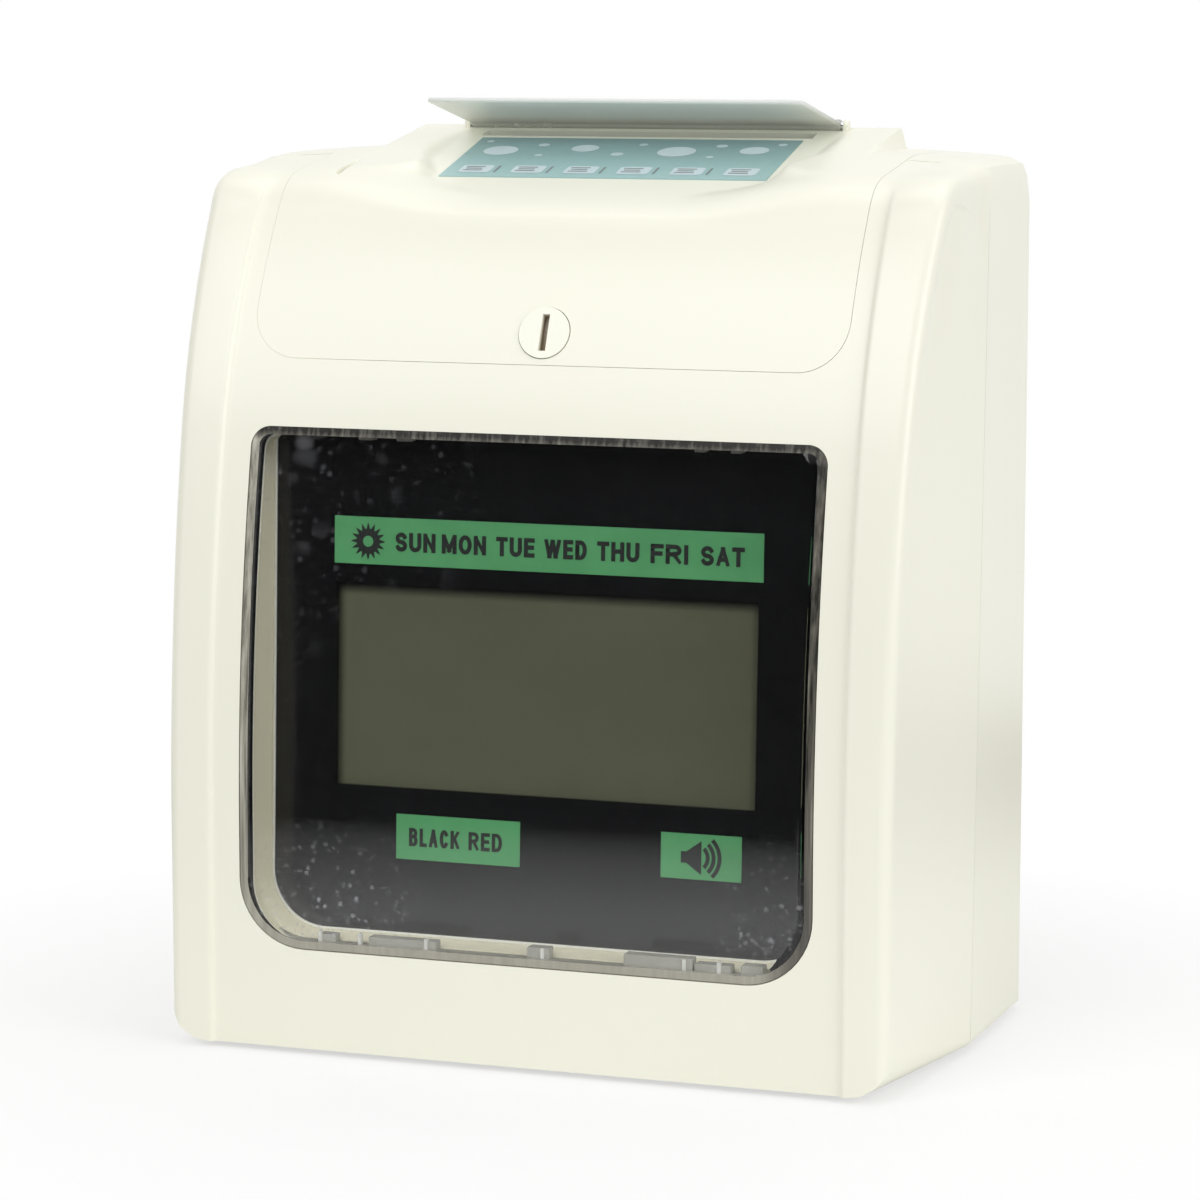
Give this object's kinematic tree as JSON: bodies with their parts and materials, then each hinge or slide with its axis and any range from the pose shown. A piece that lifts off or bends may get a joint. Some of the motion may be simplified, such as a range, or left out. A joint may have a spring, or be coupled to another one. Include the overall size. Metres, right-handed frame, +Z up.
{
  "type": "time clock",
  "caption": "Desk time recorder with a curved ivory case, clear front window over a display, keyed lid with a card throat and flap, and a printing mechanism inside.",
  "frame": {"origin": "middle of the case's footprint, on the surface its feet stand on", "axes": "+X to the clock's right as seen from the front, +Y to the rear, +Z up"},
  "size_m": [0.194, 0.11, 0.2332],
  "materials": {
    "case_plastic": "ivory satin moulding",
    "flap_plastic": "grey translucent plate",
    "label_print": "printed teal label",
    "clear_window": "clear moulded acrylic",
    "panel_black": "black",
    "grey_plastic": "grey moulding",
    "display_glass": "unlit olive-grey display",
    "circuit_board": "green lacquer",
    "steel": "zinc-plated sheet",
    "polished_rod": "ground rod",
    "cast_alloy": "cast housing",
    "rubber": "black rubber",
    "ribbon_fabric": "inked ribbon",
    "knob_blue": "blue moulding",
    "gear_plastic": "natural nylon",
    "brass": "machined",
    "key_plastic": "pale grey key cap",
    "core_iron": "laminated core and winding",
    "battery_wrap": "green sleeve"
  },
  "bodies": {
    "case": {"front_case": "case_plastic", "rear_case": "case_plastic", "hinge_pins": "steel", "display_window": "clear_window", "display_mask": "panel_black", "lcd_frame": "grey_plastic", "lcd_glass": "display_glass", "display_board": "circuit_board", "buzzer": "panel_black", "display_screws": "steel", "chassis_plate": "steel", "chassis_screws": "steel", "left_frame": "steel", "right_frame": "steel", "frame_screws": "steel", "carriage_rod": "polished_rod", "guide_rod": "polished_rod", "ribbon_cassette": "panel_black", "ribbon": "ribbon_fabric", "motor_plate": "steel", "carriage_motor": "cast_alloy", "carriage_belt": "rubber", "front_guide": "steel", "rear_guide": "steel", "platen": "rubber", "feed_motor": "cast_alloy", "key_panel": "grey_plastic", "key_board": "circuit_board", "main_board": "circuit_board", "board_standoffs": "steel", "board_screws": "steel", "transformer": "core_iron", "backup_battery": "battery_wrap", "power_inlet": "panel_black", "feet": "rubber", "case_screws": "steel"},
    "lid": {"top_lid": "case_plastic", "instruction_label": "label_print"},
    "flap": {"throat_flap": "flap_plastic", "flap_pin": "steel"},
    "lock": {"lock_barrel": "case_plastic", "lock_cam": "steel", "lock_screw": "steel"},
    "carriage": {"print_carriage": "panel_black", "print_head": "cast_alloy"},
    "feed": {"feed_shaft": "polished_rod", "feed_rollers": "rubber", "feed_gear": "gear_plastic"},
    "drive_pulley_body": {"drive_pulley": "panel_black"},
    "idler_pulley_body": {"idler_pulley": "panel_black"},
    "pinch_roller_body": {"pinch_roller": "rubber"},
    "motor_pinion_body": {"motor_pinion": "brass"},
    "ribbon_knob_body": {"ribbon_knob": "knob_blue"},
    "key_1_body": {"key_1": "key_plastic"},
    "key_2_body": {"key_2": "key_plastic"},
    "key_3_body": {"key_3": "key_plastic"},
    "key_4_body": {"key_4": "key_plastic"}
  },
  "joints": [
    {"name": "lid_hinge", "type": "hinge", "parent": "case", "child": "lid", "pos_m": [0, 0.051, 0.216], "axis": [-1, 0, 0], "range_deg": [0, 75]},
    {"name": "flap_hinge", "type": "hinge", "parent": "lid", "child": "flap", "pos_m": [0, 0.0445, 0.22581], "axis": [-1, 0, 0], "range_deg": [-27, 95]},
    {"name": "lock_turn", "type": "hinge", "parent": "lid", "child": "lock", "pos_m": [0, -0.036, 0.17783], "axis": [0, 0.9276, -0.3736], "range_deg": [0, 90]},
    {"name": "carriage_slide", "type": "slide", "parent": "case", "child": "carriage", "axis": [1, 0, 0], "range_m": [-0.032, 0.032]},
    {"name": "drive_pulley_turn", "type": "hinge", "parent": "case", "child": "drive_pulley_body", "pos_m": [-0.05, -0.0025, 0.1435], "axis": [0, 1, 0], "range_deg": [-285, 285]},
    {"name": "idler_pulley_turn", "type": "hinge", "parent": "case", "child": "idler_pulley_body", "pos_m": [0.05, -0.0025, 0.1435], "axis": [0, 1, 0], "range_deg": [-285, 285]},
    {"name": "feed_turn", "type": "hinge", "parent": "case", "child": "feed", "pos_m": [0, 0.032, 0.1365], "axis": [1, 0, 0], "continuous": true},
    {"name": "pinch_turn", "type": "hinge", "parent": "case", "child": "pinch_roller_body", "pos_m": [0, 0.045, 0.1365], "axis": [1, 0, 0], "continuous": true},
    {"name": "pinion_turn", "type": "hinge", "parent": "case", "child": "motor_pinion_body", "pos_m": [0.06, 0.01505, 0.12749], "axis": [1, 0, 0], "continuous": true},
    {"name": "ribbon_knob_turn", "type": "hinge", "parent": "case", "child": "ribbon_knob_body", "pos_m": [-0.038, 0.015, 0.1985], "axis": [0, 0, 1], "continuous": true},
    {"name": "key_1_press", "type": "slide", "parent": "case", "child": "key_1_body", "axis": [0, 0, -1], "range_m": [0, 0.0012], "stiffness_N_per_m": 300},
    {"name": "key_2_press", "type": "slide", "parent": "case", "child": "key_2_body", "axis": [0, 0, -1], "range_m": [0, 0.0012], "stiffness_N_per_m": 300},
    {"name": "key_3_press", "type": "slide", "parent": "case", "child": "key_3_body", "axis": [0, 0, -1], "range_m": [0, 0.0012], "stiffness_N_per_m": 300},
    {"name": "key_4_press", "type": "slide", "parent": "case", "child": "key_4_body", "axis": [0, 0, -1], "range_m": [0, 0.0012], "stiffness_N_per_m": 300}
  ],
  "couplings": [
    {"joint": "drive_pulley_turn", "follows": "carriage_slide", "rad_per_m": 153.85},
    {"joint": "idler_pulley_turn", "follows": "carriage_slide", "rad_per_m": 153.85},
    {"joint": "pinch_turn", "follows": "feed_turn", "ratio": -1.1818},
    {"joint": "pinion_turn", "follows": "feed_turn", "ratio": -3}
  ]
}
